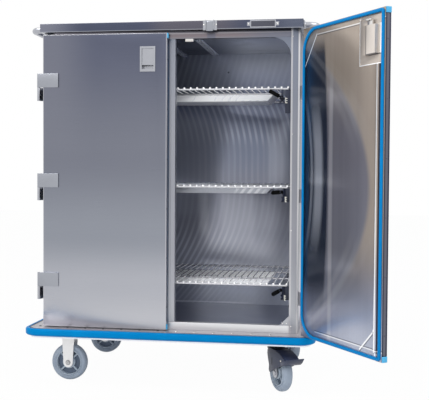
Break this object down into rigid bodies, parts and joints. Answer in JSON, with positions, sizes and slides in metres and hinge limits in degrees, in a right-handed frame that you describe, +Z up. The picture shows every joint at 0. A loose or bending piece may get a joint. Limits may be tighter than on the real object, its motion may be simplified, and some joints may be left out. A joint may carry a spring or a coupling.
{
  "type": "case cart",
  "caption": "Closed stainless case cart: a hinged-door cabinet with wire shelves on a bumpered deck, with casters, side push handles, paddle latches and door seals.",
  "frame": {"origin": "on the floor, under the middle of the bumper's footprint", "axes": "+X along the doors towards the open one, +Y from the doors to the back, +Z up"},
  "size_m": [1.4535, 1.2283, 1.48],
  "materials": {
    "cabinet_steel": "satin brushed",
    "frame_steel": "satin brushed",
    "cap_steel": "satin brushed",
    "deck_steel": "satin brushed",
    "door_steel": "satin brushed",
    "fitting_steel": "fine satin",
    "handle_steel": "bright satin",
    "shelf_wire": "bright",
    "support_steel": "satin",
    "clamp_paint": "satin",
    "grip_plastic": "matt",
    "blue_bumper": "satin",
    "blue_seal": "satin",
    "caster_steel": "zinc plated",
    "grey_tyre": "matt",
    "grey_hub": "satin",
    "brake_plastic": "satin"
  },
  "bodies": {
    "cart": {"base_deck": "deck_steel", "bumper_channel": "deck_steel", "bumper": "blue_bumper", "undercarriage": "deck_steel", "side_wall_right": "cabinet_steel", "side_wall_left": "cabinet_steel", "back_wall": "cabinet_steel", "ceiling_panel": "cabinet_steel", "roof_cap": "cap_steel", "door_posts": "frame_steel", "header_rail": "frame_steel", "threshold": "frame_steel", "corner_plates": "frame_steel", "latch_keepers": "frame_steel", "hinge_leaves": "fitting_steel", "card_holder": "fitting_steel", "catch_base": "fitting_steel", "push_handle_right": "handle_steel", "push_handle_left": "handle_steel", "shelf_lower": "shelf_wire", "shelf_middle": "shelf_wire", "shelf_upper": "shelf_wire", "shelf_braces": "support_steel", "shelf_supports": "support_steel", "shelf_clamps": "clamp_paint", "ceiling_channels": "cabinet_steel", "rigid_forks": "caster_steel", "swivel_mounts": "caster_steel", "rivets_and_screws": "fitting_steel"},
    "door_left": {"door_left_skin": "door_steel", "door_left_liner": "door_steel", "door_left_seal": "blue_seal", "door_left_hinge_straps": "fitting_steel", "door_left_latch_housing": "fitting_steel"},
    "paddle_left": {"door_left_latch_paddle": "fitting_steel"},
    "hook_left": {"door_left_latch_hook": "fitting_steel"},
    "door_right": {"door_right_skin": "door_steel", "door_right_liner": "door_steel", "door_right_seal": "blue_seal", "door_right_hinge_straps": "fitting_steel", "door_right_latch_housing": "fitting_steel"},
    "paddle_right": {"door_right_latch_paddle": "fitting_steel"},
    "hook_right": {"door_right_latch_hook": "fitting_steel"},
    "catch_flap": {"flip_catch": "fitting_steel"},
    "grip_lower": {"shelf_grip_lower": "grip_plastic"},
    "grip_middle": {"shelf_grip_middle": "grip_plastic"},
    "grip_upper": {"shelf_grip_upper": "grip_plastic"},
    "wheel_left_front": {"tyre_left_front": "grey_tyre", "hub_left_front": "grey_hub"},
    "swivel_front": {"swivel_fork_front": "caster_steel", "brake_housing_front": "brake_plastic"},
    "wheel_right_front": {"tyre_right_front": "grey_tyre", "hub_right_front": "grey_hub"},
    "pedal_front": {"brake_pedal_front": "brake_plastic"},
    "wheel_left_rear": {"tyre_left_rear": "grey_tyre", "hub_left_rear": "grey_hub"},
    "swivel_rear": {"swivel_fork_rear": "caster_steel", "brake_housing_rear": "brake_plastic"},
    "wheel_right_rear": {"tyre_right_rear": "grey_tyre", "hub_right_rear": "grey_hub"},
    "pedal_rear": {"brake_pedal_rear": "brake_plastic"}
  },
  "joints": [
    {"name": "door_right_hinge", "type": "hinge", "parent": "cart", "child": "door_right", "pos_m": [0.545, -0.351, 0.812], "axis": [0, 0, 1], "range_deg": [-124.5, 140.5]},
    {"name": "door_left_hinge", "type": "hinge", "parent": "cart", "child": "door_left", "pos_m": [-0.545, -0.351, 0.812], "axis": [0, 0, -1], "range_deg": [0, 265]},
    {"name": "paddle_right_pull", "type": "hinge", "parent": "door_right", "child": "paddle_right", "pos_m": [0.80617, -0.72906, 1.3725], "axis": [0.5664, -0.8241, 0], "range_deg": [0, 35], "stiffness_Nm_per_rad": 0.12, "springref_deg": -20.05},
    {"name": "paddle_left_pull", "type": "hinge", "parent": "door_left", "child": "paddle_left", "pos_m": [-0.0855, -0.3521, 1.3725], "axis": [-1, 0, 0], "range_deg": [0, 35], "stiffness_Nm_per_rad": 0.12, "springref_deg": -20.05},
    {"name": "hook_right_slide", "type": "slide", "parent": "door_right", "child": "hook_right", "axis": [0, 0, -1], "range_m": [0, 0.0121]},
    {"name": "hook_left_slide", "type": "slide", "parent": "door_left", "child": "hook_left", "axis": [0, 0, -1], "range_m": [0, 0.0121]},
    {"name": "catch_flap_hinge", "type": "hinge", "parent": "cart", "child": "catch_flap", "pos_m": [0.168, -0.3635, 1.472], "axis": [-1, 0, 0], "range_deg": [0, 100]},
    {"name": "grip_lower_pivot", "type": "hinge", "parent": "cart", "child": "grip_lower", "pos_m": [0.452, -0.3006, 0.405], "axis": [0.766, 0.6428, 0], "range_deg": [-50, 5]},
    {"name": "grip_middle_pivot", "type": "hinge", "parent": "cart", "child": "grip_middle", "pos_m": [0.452, -0.3006, 0.8], "axis": [0.7431, 0.6691, 0], "range_deg": [-50, 5]},
    {"name": "grip_upper_pivot", "type": "hinge", "parent": "cart", "child": "grip_upper", "pos_m": [0.452, -0.3006, 1.177], "axis": [0, 1, 0], "range_deg": [-50, 5]},
    {"name": "wheel_left_front_spin", "type": "hinge", "parent": "cart", "child": "wheel_left_front", "pos_m": [-0.436, -0.2745, 0.0762], "axis": [0, 1, 0], "continuous": true},
    {"name": "swivel_front_turn", "type": "hinge", "parent": "cart", "child": "swivel_front", "pos_m": [0.436, -0.2745, 0.17], "axis": [0, 0, 1], "continuous": true},
    {"name": "wheel_right_front_spin", "type": "hinge", "parent": "swivel_front", "child": "wheel_right_front", "pos_m": [0.4585, -0.31347, 0.0762], "axis": [0.866, 0.5, 0], "continuous": true},
    {"name": "pedal_front_press", "type": "hinge", "parent": "swivel_front", "child": "pedal_front", "pos_m": [0.49549, -0.37753, 0.12497], "axis": [0.866, 0.5, 0], "range_deg": [0, 14]},
    {"name": "wheel_left_rear_spin", "type": "hinge", "parent": "cart", "child": "wheel_left_rear", "pos_m": [-0.436, 0.2745, 0.0762], "axis": [0, 1, 0], "continuous": true},
    {"name": "swivel_rear_turn", "type": "hinge", "parent": "cart", "child": "swivel_rear", "pos_m": [0.436, 0.2745, 0.17], "axis": [0, 0, 1], "continuous": true},
    {"name": "wheel_right_rear_spin", "type": "hinge", "parent": "swivel_rear", "child": "wheel_right_rear", "pos_m": [0.4585, 0.23553, 0.0762], "axis": [0.866, 0.5, 0], "continuous": true},
    {"name": "pedal_rear_press", "type": "hinge", "parent": "swivel_rear", "child": "pedal_rear", "pos_m": [0.49549, 0.17147, 0.12497], "axis": [0.866, 0.5, 0], "range_deg": [0, 14]}
  ],
  "couplings": [
    {"joint": "hook_right_slide", "follows": "paddle_right_pull", "m_per_rad": 0.019644},
    {"joint": "hook_left_slide", "follows": "paddle_left_pull", "m_per_rad": 0.019644}
  ]
}
